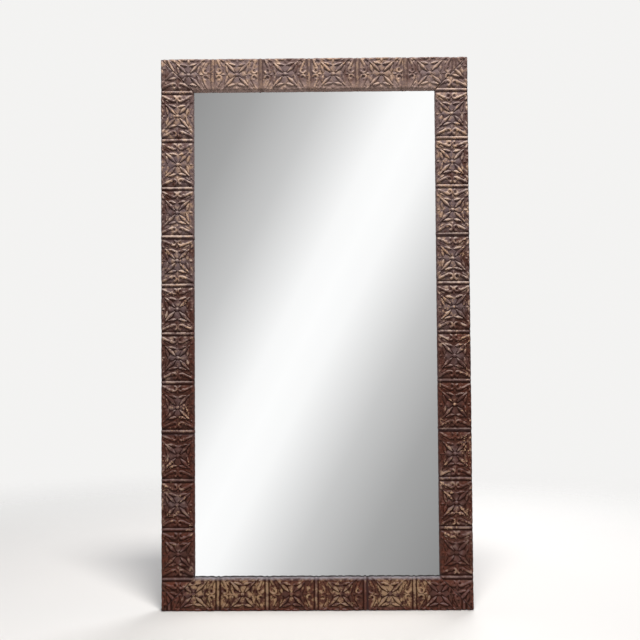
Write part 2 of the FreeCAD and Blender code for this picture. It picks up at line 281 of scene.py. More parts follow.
def makeSpeckGroup():
    # broad blotches, small blotches and fine grit in one place
    sockets = [(label, "Float") for label in speckLook["details"]]
    tree, given, result = newTree("speck", "ShaderNodeTree", [("Vector", "Vector"), *sockets], sockets)
    for label, detail in speckLook["details"].items():
        feed(tree, result[label], noise(tree, given["Vector"], given[label], detail, speckLook["roughness"]))
    return tree


grainGroup = makeGrainGroup()
speckGroup = makeSpeckGroup()


def useGroup(tree, group, inputs):
    node = addNode(tree, "ShaderNodeGroup", inputs, node_tree=group)
    return {socket.name.lower(): Wire(tree, socket) for socket in node.outputs}


def specks(tree, place, look):
    return useGroup(tree, speckGroup, {"Vector": place, **look["specks"]})


tinFinish = {
    "brown": srgb(90, 58, 48), "red": srgb(110, 62, 48), "grey": srgb(131, 113, 113), "paleTint": srgb(166, 141, 130),
    "tan": srgb(200, 164, 134), "gold": srgb(188, 154, 118), "flake": srgb(216, 176, 142),
    "cream": srgb(246, 227, 214), "dark": srgb(48, 18, 8), "plum": srgb(69, 48, 48), "shade": srgb(92, 77, 82),
    "sheen": srgb(140, 136, 142), "gapShadow": srgb(22, 18, 18),
    "specks": {"Blotch": 7.0, "Fleck": 55.0, "Grit": 300.0},
    "patchScale": 9.0, "flakeScale": 24.0, "chipNoise": (190.0, 4.0, 0.65),
    # stretches of the bottom rail worn to gold: middle, half length, share
    "goldWorn": ((-0.23, 0.22, 1.0), (0.02, 0.15, 0.8), (0.26, 0.13, 0.95)),
    "foldShadeShare": 0.6, "roughness": (0.36, 1.0), "specular": 0.12, "bump": 0.0009,
}
# ranges over which a mask sets in, the first three rows in metres
tinSpans = {
    "inside": (0.375, 0.39, 1.0, 0.0), "low": (0.085, 0.115, 1.0, 0.0), "foot": (0.008, 0.02), "sill": (0.091, 0.100),
    "beadWorn": (0.1, 0.4), "flaked": (0.1, 0.26), "high": (0.3, 1.6), "cream": (0.3, 1.2), "top": (1.6, 1.65),
    "topPale": (1.6, 1.65, 0.0, 0.12), "headBounceLight": (1.640, 1.665, 0.45, 0.0), "crown": (1.645, 1.66),
    "goldFade": (0.4, 1.2), "patch": (0.36, 0.64), "flakeArea": (0.4, 0.65),
    "crossShade": (0.1, 0.5, 0.0, 0.15), "heartShade": (0.2, 0.8), "beadPlum": (0.0, 0.25, 0.0, 0.6),
    "red": (0.38, 0.6), "grey": (0.85, 1.2, 0.0, 0.85), "tan": (0.9, 1.1, 0.0, 0.7), "gold": (1.36, 1.58),
    "hollowShade": (0.0, 0.14), "wornAndLit": (1.86, 2.30), "flakes": (1.34, 1.42, 0.0, 0.75),
}
# weights of the masks in each sum; base is a mask of 1
tinSums = {
    "red": {"fleck": 1.0, "high": -0.12},
    "grey": {"blotch": 1.0, "fleck": 0.7, "high": 0.25, "heart": 0.15},
    "greyShare": {"base": 1.0, "low": -0.8},
    "tan": {"fleck": 1.0, "blotch": 0.6, "relief": 0.1, "high": 0.1},
    "gold": {"fleck": 1.2, "grit": 0.5, "blotch": 0.4, "relief": 0.1, "goldWorn": 0.4},
    "goldShare": {"base": 0.35, "grit": 0.9},
    "beadShare": {"base": 0.6, "patch": -0.5},
    "heartShare": {"base": 0.1, "high": 0.2},
    "hollowShade": {"base": -0.05, "groove": 0.2, "cavity": -0.7, "tilt": -0.3, "grit": 0.1},
    "hollowShadeShare": {"base": 0.9, "high": -0.25},
    "darkShare": {"base": 0.22, "high": -0.22},
    "beadWorn": {"base": -0.35, "patch": 0.7},
    "wornAndLit": {
        "cavity": 0.7, "fleck": 1.8, "grit": 1.0, "high": 0.1, "upward": 0.5, "tilt": 0.5, "fold": -1.0, "cross": -0.1,
        "beadWorn": 1.0, "patch": 0.2},
    "wornAndLitShare": {"base": 0.46, "high": -0.14, "top": -0.1},
    "flakes": {"chip": 1.6, "relief": 0.2, "flakeArea": 0.4},
    "flakeShare": {"base": 1.0, "high": -0.2},
    "sheen": {"base": -0.35, "fleck": 0.9, "grit": 0.4, "upward": 0.6},
    "seamShare": {"base": 0.6, "fleck": 0.5, "top": -0.5},
    "roughness": {"fleck": 0.2, "grit": 0.12, "relief": 0.05},
    "height": {"grit": 0.5, "fleck": 1.0},
}


def makeTinFinish():
    material, tree, shader, place = newMaterial("wornTinPaint")
    paint, spans = dict(tinFinish), tinSpans
    masks = {"base": constant(tree, 1.0), **specks(tree, place, paint)}
    for name in ("relief", "cavity", "seam", "heart", "fold", "hem", "cross", "bead", "groove"):
        masks[name] = Wire(tree, addNode(tree, "ShaderNodeAttribute", attribute_name=name).outputs["Fac"])
    seam, heart, fold, hem, cross, bead = [
        masks[name] for name in ("seam", "heart", "fold", "hem", "cross", "bead")]
    along, height = split(tree, place)[::2]
    upward = split(tree, addNode(tree, "ShaderNodeNewGeometry").outputs["Normal"])[2]
    inside = along.math("ABSOLUTE").smooth(*spans["inside"])
    low, high, top = [height.smooth(*spans[zone]) for zone in ("low", "high", "top")]
    masks.update(low=low, high=high, top=top, upward=upward, tilt=upward * (1.0 - fold))
    masks["patch"] = noise(tree, place, paint["patchScale"]).smooth(*spans["patch"])
    masks["chip"] = noise(tree, place, *paint["chipNoise"])
    masks["flakeArea"] = noise(tree, place, paint["flakeScale"]).smooth(*spans["flakeArea"])
    masks["goldWorn"] = highest(*[
        ((along - middle).math("ABSOLUTE") / halfLength).smooth(*spans["goldFade"], share, 0.0)
        for middle, halfLength, share in paint["goldWorn"]])

    def total(name):
        return weighed(masks, tinSums[name])

    def share(name):
        return total(name).smooth(*spans[name])

    masks["beadWorn"] = bead * total("beadWorn") * height.smooth(*spans["beadWorn"])
    onLow, onTop = low.math("GREATER_THAN", 0.0), top.math("GREATER_THAN", 0.0)
    gold = share("gold") * total("goldShare").clamped() * height.smooth(*spans["foot"]) * low
    shade = highest(cross.smooth(*spans["crossShade"]), heart.smooth(*spans["heartShade"]) * total("heartShare"))
    bare = (1.0 - low) * (1.0 - fold)
    flakes = share("flakes") * height.smooth(*spans["flaked"]) * total("flakeShare") * bare
    sill = height.smooth(*spans["sill"]) * onLow * inside
    crown = height.smooth(*spans["crown"])
    paint["crest"] = blended(tree, height.smooth(*spans["cream"]), paint["grey"], paint["cream"])
    layers = [
        (share("grey") * total("greyShare"), "grey"),  # greyer towards the top
        (share("tan") * bare, "tan"),
        (gold, "gold"),  # the bottom rail is worn to gold
        (bead.clamped() * total("beadShare"), "grey"),
        # painted shade: the crossed leaves and the tile's heart drawn a darker plum grey
        (shade, "shade"),
        # painted shade: darker in the hollows, beside the beads and on downward-facing slopes
        (share("hollowShade") * total("hollowShadeShare"), "dark"),
        (total("darkShare") * (1.0 - low), "dark"),
        (height.smooth(*spans["topPale"]), "paleTint"),  # the top rail is paler
        # worn paint on the crests, with painted highlight on upward-facing slopes
        (share("wornAndLit") * total("wornAndLitShare"), "crest"),
        (flakes, "flake"),
        (sill * total("sheen").clamped(), "sheen"),  # painted sheen on the bottom rail's sight edge
        # painted bounce light: the top rail's lower edge and sight bend lightened
        (height.smooth(*spans["headBounceLight"]) * onTop * inside, "paleTint"),
        (seam * total("seamShare").clamped(), "plum"),
        ((-bead).smooth(*spans["beadPlum"]), "plum"),
        # painted shade on the folds, kept off the bottom rail and the top rail's lower edge within the opening
        (fold * (1.0 - inside * (1.0 - crown)) * paint["foldShadeShare"], "plum"),
        # painted shadow along the gap between the bottom rail's reveal and the glass
        (hem * onLow, "gapShadow"),
    ]
    colour = blended(tree, share("red"), paint["brown"], paint["red"])
    for amount, layer in layers:
        colour = blended(tree, amount, colour, paint[layer])
    shader.inputs["Specular IOR Level"].default_value = paint["specular"]
    dress(tree, shader, paint, colour, total("roughness"), total("height"))
    return material


mirrorFinish = {
    "silver": (0.95, 0.955, 0.955, 1.0), "haze": (0.93, 0.935, 0.935, 1.0), "cloudScale": 3.0,
    "roughness": (0.015, 0.01),
}


def makeMirrorFinish():
    material, tree, shader, place = newMaterial("silveredPlate")
    cloud = noise(tree, place, mirrorFinish["cloudScale"])
    feed(tree, shader.inputs["Base Color"], blended(tree, cloud, mirrorFinish["silver"], mirrorFinish["haze"]))
    shader.inputs["Metallic"].default_value = 1.0
    least, spread = mirrorFinish["roughness"]
    feed(tree, shader.inputs["Roughness"], cloud * spread + least)
    return material


timberFinish = {
    "pale": srgb(196, 158, 112), "brown": srgb(140, 98, 60), "fibre": srgb(112, 76, 46),
    "grain": {"Streaks": 90.0, "Fibre": 700.0}, "specks": {"Blotch": 5.0, "Fleck": 40.0, "Grit": 900.0},
    "streakShare": 0.8, "fibreShare": 0.35, "blotches": (0.45, 0.75, 0.0, 0.3), "roughness": (0.68, 0.2),
    "height": {"streak": 0.6, "fibre": 1.0, "grit": 0.3}, "bump": 0.0004,
}


def makeTimberFinish(name, turn):
    material, tree, shader, place = newMaterial(name)
    look = timberFinish
    turned = addNode(tree, "ShaderNodeMapping", {"Vector": place, "Rotation": turn}).outputs[0]
    masks = {**useGroup(tree, grainGroup, {"Vector": turned, **look["grain"]}), **specks(tree, place, look)}
    wood = blended(tree, masks["streak"] * look["streakShare"], look["pale"], look["brown"])
    wood = blended(tree, masks["fibre"] * look["fibreShare"], wood, look["fibre"])
    wood = blended(tree, masks["blotch"].smooth(*look["blotches"]), wood, look["fibre"])
    dress(tree, shader, look, wood, masks["fleck"], weighed(masks, look["height"]))
    return material


# layers over a ground: weights of the specks, range over which they set in, colour
boardFinish = {
    "ground": srgb(120, 84, 54), "metallic": 0.0, "specks": {"Blotch": 3.0, "Fleck": 160.0, "Grit": 1100.0},
    "layers": (
        ({"fleck": 1.0}, (0.4, 0.7), srgb(150, 110, 74)),
        ({"grit": 1.0}, (0.55, 0.75, 0.0, 0.5), srgb(88, 58, 36)),
        ({"blotch": 1.0}, (0.4, 0.7, 0.0, 0.3), srgb(88, 58, 36)),
    ),
    "roughMask": "fleck", "roughness": (0.55, 0.25), "height": {"fleck": 0.5, "grit": 1.0}, "bump": 0.0003,
}
zincFinish = {
    "ground": srgb(206, 202, 192), "metallic": 1.0, "specks": {"Blotch": 60.0, "Fleck": 400.0, "Grit": 2500.0},
    "layers": (({"blotch": 1.0, "fleck": 0.5}, (0.55, 0.95), srgb(150, 144, 132)),),
    "roughMask": "fleck", "roughness": (0.26, 0.25), "height": {"grit": 1.0}, "bump": 0.00005,
}
bluedFinish = {
    **zincFinish, "ground": srgb(92, 88, 86),
    "layers": (({"blotch": 1.0, "fleck": 0.5}, (0.55, 0.95), srgb(58, 50, 46)),),
}
rubberFinish = {
    "ground": srgb(26, 26, 26), "metallic": 0.0, "specks": {"Blotch": 80.0, "Fleck": 700.0, "Grit": 3000.0},
    "layers": (({"fleck": 1.0}, (0.35, 0.7), srgb(48, 47, 46)),),
    "roughMask": "blotch", "roughness": (0.8, 0.15), "height": {"fleck": 1.0, "grit": 1.0}, "bump": 0.0003,
}


def makeSpeckledFinish(name, look):
    material, tree, shader, place = newMaterial(name)
    masks = specks(tree, place, look)
    colour = look["ground"]
    for weights, span, layer in look["layers"]:
        colour = blended(tree, weighed(masks, weights).smooth(*span), colour, layer)
    shader.inputs["Metallic"].default_value = look["metallic"]
    dress(tree, shader, look, colour, masks[look["roughMask"]], weighed(masks, look["height"]))
    return material


tinPaint = makeTinFinish()
silveredPlate = makeMirrorFinish()
uprightTimber = makeTimberFinish("uprightTimber", (0.0, quarterTurn, 0.0))
levelTimber = makeTimberFinish("levelTimber", (0.0, 0.0, 0.0))
hardboard = makeSpeckledFinish("hardboard", boardFinish)
zincSteel = makeSpeckledFinish("zincSteel", zincFinish)
bluedSteel = makeSpeckledFinish("bluedSteel", bluedFinish)
blackRubber = makeSpeckledFinish("blackRubber", rubberFinish)
print("finishes made:", len(bpy.data.materials))


# pressed tin sheets

skin = 0.0006
boxLow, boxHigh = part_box("core_stile_left")[0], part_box("core_stile_right")[1]
boardLow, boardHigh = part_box("backing_board")
frontY, coreBack = boxLow.y - skin, boxHigh.y
tinSheet = {
    "face": 0.103, "bend": 0.005, "sightBend": 0.009, "flange": 0.012, "lip": 0.008, "step": 0.0015,
    "outerDepth": coreBack + skin - frontY, "revealDepth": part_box("mirror_plate")[0].y - frontY,
    "rows": {"flange": 2, "outer": 10, "bend": 5, "face": 60, "sightBend": 9, "reveal": 3, "lip": 2},
    "lapLength": 0.005, "lapLift": 0.0011, "lapRise": 0.012, "lapStain": (0.006, 0.018),
    "mitreGap": 0.0001, "mitreFade": 0.0022, "seamStain": 0.003,
    "fadeTurn": 1.2, "hemTurn": (0.95, 1.3), "hemFade": (0.0005, 0.003), "sharp": math.radians(50),
    "firstSeed": 1.0, "seedStep": 1.7, "seedSpread": 3.1,
}
tinPattern = {
    "pitch": 0.1524, "beadHalfWidth": 0.0047, "beadWarp": 0.3, "pillow": (0.0065, 0.0165), "pillowHeight": 0.0019,
    "heights": {"Bead Height": 0.0036, "Leaf Height": 0.0040, "Rib Height": 0.0033, "Dent Depth": 0.0007},
    "leafSteep": 0.6, "leafCrown": 0.7, "leastWidth": 0.006, "edgeFade": (1.02, 1.1),
    "groove": (0.0065, 0.0095), "shoulder": (0.018, 0.028), "shoulderLight": 0.25, "blurSteps": 9,
    "warp": 0.009, "warpNoises": ((11.0, 1.0), (13.0, 1.0)), "uneven": (0.4, 1.15), "unevenScale": 8.0,
    # scale, detail and share of the depth
    "dents": ((14.0, 1.0, 1.8), (60.0, 2.0, 1.8), (170.0, 1.0, 1.4)),
    # quarter motif in half pitches from the tile's middle: start, end, half width, taper, share of the height
    "leaves": [
        ((0.10, 0.10), (0.50, 0.50), 0.080, 1.0, 1.1),
        ((0.39, 0.04), (0.47, 0.37), 0.065, 1.0, 0.9),
        ((0.08, 0.00), (0.42, 0.00), 0.150, 1.0, 0.50),
        ((0.55, 0.55), (0.88, 0.88), 0.100, 1.0, 0.8),
        ((0.50, 0.00), (0.66, 0.00), 0.050, 1.0, 0.5),
        ((0.58, 0.34), (0.68, 0.50), 0.040, 1.0, 0.45),
        ((0.68, 0.54), (0.86, 0.63), 0.040, 1.0, 0.55),
    ],
    "ribs": [
        ((0.84, 0.62), (0.74, 0.42), 0.052, 0.3),
        ((0.74, 0.42), (0.64, 0.20), 0.052, 0.0),
    ],
    "volute": (0.735, 0.135), "voluteRadius": 0.100, "voluteHalfWidth": 0.052, "voluteOpening": (0.6, 1.3),
    "bossRadius": 0.085, "heart": (0.15, 0.65),
}
halfFace = tinSheet["face"] / 2
outerRun, sightRun = tinSheet["outerDepth"] - tinSheet["bend"], tinSheet["revealDepth"] - tinSheet["sightBend"]


def unfolded(tree, gridY):
    # distance across the unfolded section from flange to lip, zero in the middle of the face
    sheet, rows = tinSheet, tinSheet["rows"]
    outerBend, sightBend = sheet["bend"], sheet["sightBend"]
    lengths = {
        "flange": sheet["flange"], "outer": outerRun, "bend": outerBend * quarterTurn,
        "face": sheet["face"] - outerBend - sightBend,
        "sightBend": sightBend * quarterTurn, "reveal": sightRun, "lip": sheet["lip"],
    }
    place = constant(tree, -(lengths["flange"] + outerRun + lengths["bend"] + halfFace - outerBend))
    rowCount, passed = sum(rows.values()), 0
    for part, length in lengths.items():
        low, high = passed / rowCount - 0.5, (passed + rows[part]) / rowCount - 0.5
        place = place + gridY.ramp(low, high, 0.0, length)
        passed += rows[part]
    return place


def foldSheet(place):
    # where the unfolded distance comes to lie round the bends
    outerBend, sightBend = tinSheet["bend"], tinSheet["sightBend"]
    away, side, inner = place.math("ABSOLUTE"), place.math("SIGN"), place.math("GREATER_THAN", 0.0)
    bend = inner * (sightBend - outerBend) + outerBend
    flat = halfFace - bend
    turn = ((away - flat) / bend).clamped(0.0, quarterTurn)
    depth = inner * (sightRun - outerRun) + outerRun
    down = (away - flat - bend * quarterTurn).math("MAXIMUM", 0.0)
    sideRun = down.math("MINIMUM", depth)
    folded = (down - depth).math("MAXIMUM", 0.0)
    across = side * (away.math("MINIMUM", flat) + turn.math("SINE") * bend - folded)
    drop = (1.0 - turn.math("COSINE")) * bend + sideRun
    hemFade = (depth - sideRun).smooth(*tinSheet["hemFade"])
    return side, inner, turn, across, drop, hemFade


def ridge(along, across, start, end, halfWidth, taper):
    # 1 on the crest of a leaf or rib between two points, 0 from its edge out
    runAlong, runAcross = end[0] - start[0], end[1] - start[1]
    length = runAlong ** 2 + runAcross ** 2
    share = (((along - start[0]) * runAlong + (across - start[1]) * runAcross) / length).clamped()
    off = hypot(along - start[0] - share * runAlong, across - start[1] - share * runAcross)
    swing = share * 2.0 - 1.0
    width = (1.0 - swing * swing * taper) * halfWidth + tinPattern["leastWidth"]
    return (1.0 - off / width).clamped()


def stampMotif(size, far, near):
    # height of the leaves, scrolls and boss, and the crest of the crossed leaves
    pattern = tinPattern
    heights, crests = [], []
    for start, end, halfWidth, taper, share in pattern["leaves"]:
        lift = ridge(far, near, start, end, halfWidth, taper)
        flank = lift.smooth(0.0, pattern["leafSteep"], 0.0, 1.0 - pattern["leafCrown"])
        crests.append(flank + lift * pattern["leafCrown"])
        heights.append(crests[-1] * size["Leaf Height"] * share)
    for start, end, halfWidth, taper in pattern["ribs"]:
        heights.append(ridge(far, near, start, end, halfWidth, taper).rounded() * size["Rib Height"])
    voluteFar, voluteNear = pattern["volute"]
    off = hypot(far - voluteFar, near - voluteNear)
    curl = (1.0 - (off - pattern["voluteRadius"]).math("ABSOLUTE") / pattern["voluteHalfWidth"]).clamped()
    opening = (far + near - (voluteFar + voluteNear)) / (off + nearZero)
    curl = curl * opening.falling(*pattern["voluteOpening"])
    heights.append(curl.rounded() * size["Rib Height"])
    boss = (1.0 - hypot(far, near) / pattern["bossRadius"]).clamped()
    heights.append(boss.rounded() * size["Leaf Height"])
    return highest(*heights), crests[0]


def makeTinTree():
    labels = [
        "Start", "End", "Start Mitre", "End Mitre", "Start Lap", "End Lap", "First Bead", "Pitch",
        *tinPattern["heights"], "Outer Relief", "Reveal Relief", "Bead Wear", "Seed"]
    tree, given, result = newTree(
        "pressedTin", "GeometryNodeTree",
        [("Columns", "Int"), *((label, "Float") for label in labels), ("Origin", "Vector"), ("Along", "Vector"),
         ("Across", "Vector"), ("Material", "Material")],
        [("Geometry", "Geometry")])
    size = {label: Wire(tree, given[label]) for label in labels}
    sheet, pattern = tinSheet, tinPattern
    grid = addNode(tree, "GeometryNodeMeshGrid", {
        "Size X": 1.0, "Size Y": 1.0, "Vertices X": given["Columns"], "Vertices Y": sum(sheet["rows"].values()) + 1})
    gridX, gridY = split(tree, addNode(tree, "GeometryNodeInputPosition").outputs[0])[:2]
    place = unfolded(tree, gridY)
    side, inner, turn, across, drop, hemFade = foldSheet(place)

    # along the strip, between two mitres or joints; the flange and a flat side butt at a joint and don't lap
    edge = turn.smooth(0.0, sheet["fadeTurn"])
    sideShare = size["Outer Relief"] + inner * (size["Reveal Relief"] - size["Outer Relief"])
    lapped = hemFade * (1.0 - edge * (1.0 - sideShare.math("GREATER_THAN", 0.0)))
    mitreRun, lapRun = halfFace - across - sheet["mitreGap"], lapped * sheet["lapLength"]
    first = size["Start"] - size["Start Mitre"] * mitreRun - size["Start Lap"] * lapRun
    last = size["End"] + size["End Mitre"] * mitreRun + size["End Lap"] * lapRun
    along = first + (gridX + 0.5) * (last - first)

    # stamped pattern, folded eight ways about the middle of a tile, between beads
    halfPitch = size["Pitch"] / 2.0
    spot = joined(tree, along + size["Seed"], place, size["Seed"] * sheet["seedSpread"])
    warpAlong, warpAcross = [(noise(tree, spot, *look) - 0.5) * pattern["warp"] for look in pattern["warpNoises"]]
    tileAlong = 1.0 - (along + warpAlong - size["First Bead"]).math("PINGPONG", halfPitch) / halfPitch
    tileAcross = (place + warpAcross).math("ABSOLUTE") / halfPitch
    far, near = tileAlong.math("MAXIMUM", tileAcross), tileAlong.math("MINIMUM", tileAcross)
    motif, cross = stampMotif(size, far, near)
    least, spread = pattern["uneven"]
    motif = motif * (noise(tree, spot, pattern["unevenScale"]) * spread + least)
    heart = hypot(tileAlong, tileAcross).falling(*pattern["heart"])
    beadOff = (along + warpAlong * pattern["beadWarp"] - size["First Bead"]).math("PINGPONG", halfPitch)
    bead = (1.0 - beadOff / pattern["beadHalfWidth"]).clamped()
    beadRise = bead.rounded() * size["Bead Height"]
    pillow = beadOff.smooth(*pattern["pillow"]) * pattern["pillowHeight"]
    # painted shade in a line round each bead, and painted light on the ground just beyond it
    clear = beadOff.smooth(*pattern["groove"])
    shoulder = beadOff.smooth(*pattern["shoulder"], pattern["shoulderLight"], 0.0)
    groove = bead.math("LESS_THAN", nearZero) * (1.0 - clear) - clear * shoulder

    # the stamping is weaker on the folds and flat at the seams
    ends = (("Start", along - first), ("End", last - along))
    seam = highest(*[size[label + " Mitre"] * gap.falling(0.0, sheet["mitreFade"]) for label, gap in ends])
    lap = highest(*[size[label + " Lap"] * gap.falling(0.0, sheet["lapRise"]) for label, gap in ends])
    strength = 1.0 - edge * (1.0 - sideShare)
    strength = strength * tileAcross.falling(*pattern["edgeFade"]) * hemFade * (1.0 - seam)
    dents = sum((noise(tree, spot, scale, detail) - 0.5) * share for scale, detail, share in pattern["dents"])
    dents = dents * size["Dent Depth"] * strength
    raised = (motif + pillow).math("MAXIMUM", beadRise) * strength + dents + lap * lapped * sheet["lapLift"]

    # marks for the paint
    stains = []
    for label, gap in ends:
        under = (1.0 - size[label + " Lap"]) * (1.0 - size[label + " Mitre"])
        stains.append(size[label + " Mitre"] * gap.falling(0.0, sheet["seamStain"]))
        stains.append(under * gap.falling(*sheet["lapStain"]))
    relief = motif.math("MAXIMUM", beadRise) * strength / size["Leaf Height"]
    blurred = addNode(tree, "GeometryNodeBlurAttribute", {"Value": relief, "Iterations": pattern["blurSteps"]})
    marks = {
        "relief": relief, "cavity": relief - Wire(tree, blurred.outputs[0]), "seam": highest(*stains), "heart": heart,
        "fold": edge, "cross": cross, "bead": bead * size["Bead Wear"], "groove": groove,
        "hem": inner * turn.smooth(*sheet["hemTurn"]),
    }
    geometry = grid.outputs["Mesh"]
    for label, value in marks.items():
        inputs = {"Geometry": geometry, "Name": label, "Value": value}
        store = addNode(tree, "GeometryNodeStoreNamedAttribute", inputs, data_type="FLOAT", domain="POINT")
        geometry = store.outputs[0]

    outward = joined(tree, 0.0, drop - raised * turn.math("COSINE"), 0.0)
    reach = across + side * raised * turn.math("SINE")
    level = summed(tree, scaled(tree, given["Along"], along), scaled(tree, given["Across"], reach))
    position = summed(tree, summed(tree, given["Origin"], level), outward)
    moved = addNode(tree, "GeometryNodeSetPosition", {"Geometry": geometry, "Position": position})
    smoothed = addNode(tree, "GeometryNodeSetShadeSmooth", {"Geometry": moved.outputs[0]})
    finishTree(tree, smoothed.outputs[0], given, result)
    return tree


outerX, outerTop = boxHigh.x + skin, boxHigh.z + skin
middle = outerTop / 2
openX, openZ = outerX - tinSheet["face"], middle - tinSheet["face"]
stileX = outerX - halfFace
# laps are 1 where a sheet lies over the next one and 0 where it lies under it
strips = [
    {"nodes": ["tin_stile_left_upper", "tin_stile_left_middle", "tin_stile_left_lower"],
     "origin": (-stileX, frontY, middle), "along": (0, 0, -1), "across": (1, 0, 0), "open": openZ,
     "firstBead": 0.0035 - openZ, "laps": (1, 1),
     "stamping": {"Bead Wear": 1.0, "Outer Relief": 0.2, "Reveal Relief": 0.12}},
    {"nodes": ["tin_stile_right_lower", "tin_stile_right_middle", "tin_stile_right_upper"],
     "origin": (stileX, frontY, middle), "along": (0, 0, 1), "across": (-1, 0, 0), "open": openZ,
     "firstBead": -0.0015 - openZ, "laps": (0, 0),
     "stamping": {"Bead Wear": 1.0, "Outer Relief": 0.2, "Reveal Relief": 0.12}},
    {"nodes": ["tin_rail_top_right", "tin_rail_top_middle", "tin_rail_top_left"],
     "origin": (0, frontY, outerTop - halfFace), "along": (-1, 0, 0), "across": (0, 0, -1), "open": openX,
     "firstBead": 0.092 - openX, "laps": (1, 0),
     "stamping": {"Bead Wear": -0.15, "Outer Relief": 0.3, "Reveal Relief": 0.12}},
    {"nodes": ["tin_rail_bottom_left", "tin_rail_bottom_right"],
     "origin": (0, frontY, halfFace), "along": (1, 0, 0), "across": (0, 0, 1), "open": openX,
     "firstBead": 0.073 - openX, "laps": (1,),
     "stamping": {"Bead Wear": 0.6, "Outer Relief": 0.0, "Reveal Relief": 0.4}},
]


def makeTinSheets():
    tree = makeTinTree()
    seed = tinSheet["firstSeed"]
    for strip in strips:
        along, origin, over = Vector(strip["along"]), Vector(strip["origin"]), strip["laps"]
        for index, node in enumerate(strip["nodes"]):
            ends = sorted((corner - origin).dot(along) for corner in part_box(node))
            isFirst, isLast = index == 0, index == len(strip["nodes"]) - 1
            inputs = {
                "Columns": round((ends[1] - ends[0]) / tinSheet["step"]) + 1,
                "Start": -strip["open"] if isFirst else ends[0], "End": strip["open"] if isLast else ends[1],
                "Start Mitre": float(isFirst), "End Mitre": float(isLast),
                "Start Lap": 0.0 if isFirst else float(1 - over[index - 1]),
                "End Lap": 0.0 if isLast else float(over[index]),
                "First Bead": strip["firstBead"], "Pitch": tinPattern["pitch"], "Seed": seed,
                **tinPattern["heights"], **strip["stamping"],
                "Origin": origin, "Along": along, "Across": Vector(strip["across"]), "Material": tinPaint,
            }
            seed += tinSheet["seedStep"]
            piece = newObject(node.replace("tin_", "sheet_"), bpy.data.meshes.new(node))
            runTree(piece, tree, inputs, skin)
            piece.data.set_sharp_from_angle(angle=tinSheet["sharp"])
            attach(piece, "frame")
            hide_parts(node)
    print("tin sheets pressed:", sum(len(strip["nodes"]) for strip in strips))


makeTinSheets()


# fasteners of the back

screwKinds = {
    "board": {"head": 0.0042, "height": 0.0024, "shank": 0.00175, "length": 0.022, "tip": 0.004, "segments": 24},
    "strap": {"head": 0.0040, "height": 0.0022, "shank": 0.0020, "length": 0.024, "tip": 0.004, "segments": 24},
    "lap": {"head": 0.0045, "height": 0.0026, "shank": 0.0022, "length": 0.029, "tip": 0.005, "segments": 24},
    "tack": {"head": 0.0031, "height": 0.0013, "shank": 0.0009, "length": 0.011, "tip": 0.002, "segments": 16},
}
screwHead = {
    # outline of a domed head in shares of its radius and height
    "dome": ((0.0, 1.0), (0.35, 0.97), (0.62, 0.84), (0.84, 0.56), (0.96, 0.24), (1.0, 0.08), (0.98, 0.0)),
    # cross recess in shares of the same
    "crossReach": 0.6, "crossWidth": 0.2, "crossDepth": 0.62,
    # flush head of the lap screws
    "flushRise": 0.0002, "flushRim": 0.94, "flushReach": 0.62, "flushDepth": 0.0014,
    "sharp": math.radians(38),
}


def lathe(name, profile, segments):
    # turns (radius, y) points about Y; the first and last lie on the axis
    shape = bmesh.new()
    rings = []
    turns = [2 * math.pi * index / segments for index in range(segments)]
    for radius, y in profile:
        spots = [(radius * math.cos(turn), y, radius * math.sin(turn)) for turn in turns]
        rings.append([shape.verts.new(spot) for spot in (spots if radius else [(0.0, y, 0.0)])])
    for one, two in zip(rings, rings[1:]):
        for index in range(segments):
            after = (index + 1) % segments
            if len(one) == 1:
                shape.faces.new((one[0], two[index], two[after]))
            elif len(two) == 1:
                shape.faces.new((one[index], two[0], one[after]))
            else:
                shape.faces.new((one[index], two[index], two[after], one[after]))
    bmesh.ops.recalc_face_normals(shape, faces=shape.faces)
    return shapeObject(name, shape)


def cutCross(piece, top, reach, width, depth):
    # presses a cross recess into a screw head
    shape = bmesh.new()
    for turn in (0.0, quarterTurn):
        spin = Matrix.Rotation(turn, 4, "Y")
        arm = Matrix.Diagonal((2 * reach, 2 * depth, width, 1.0))
        bmesh.ops.create_cube(shape, size=1.0, matrix=Matrix.Translation((0.0, top, 0.0)) @ spin @ arm)
    cutter = shapeObject("cross", shape)
    cut = piece.modifiers.new("cross", "BOOLEAN")
    cut.operation, cut.solver, cut.object, cut.use_self = "DIFFERENCE", "EXACT", cutter, True
    settle(piece)
    bpy.data.objects.remove(cutter)


def makeScrew(kind):
    size, look = screwKinds[kind], screwHead
    head, height, shank, length = size["head"], size["height"], size["shank"], size["length"]
    stem = [(shank, size["tip"] - length), (0.0, -length)]
    crossWidth = head * look["crossWidth"]
    if kind == "lap":
        rise = look["flushRise"]
        profile = [(0.0, rise), (head * look["flushRim"], rise), (head, -rise), (shank, -height)] + stem
        screw = lathe("lapScrew", profile, size["segments"])
        cutCross(screw, rise, head * look["flushReach"], crossWidth, look["flushDepth"])
        return screw
    profile = [(head * out, height * up) for out, up in look["dome"]] + [(shank, 0.0)] + stem
    screw = lathe(kind + "Screw", profile, size["segments"])
    if kind != "tack":
        cutCross(screw, height, head * look["crossReach"], crossWidth, height * look["crossDepth"])
    return screw


def makeFastenerTree():
    tree, given, result = newTree(
        "fasteners", "GeometryNodeTree",
        [("Geometry", "Geometry"), ("Fastener", "Object"), ("Seed", "Int"), ("Material", "Material")],
        [("Geometry", "Geometry")])
    shape = addNode(tree, "GeometryNodeObjectInfo", {"Object": given["Fastener"]})
    spin = addNode(tree, "FunctionNodeRandomValue", data_type="FLOAT")
    values = {"Min": 0.0, "Max": math.pi, "Seed": given["Seed"]}
    for socket in spin.inputs:
        if socket.enabled and socket.name in values:
            feed(tree, socket, values[socket.name])
    turned = next(socket for socket in spin.outputs if socket.enabled)
    spread = addNode(tree, "GeometryNodeInstanceOnPoints", {
        "Points": given["Geometry"], "Instance": shape.outputs["Geometry"],
        "Rotation": joined(tree, 0.0, turned, 0.0)})
    finishTree(tree, spread.outputs[0], given, result)
    return tree


fastenerTree = makeFastenerTree()


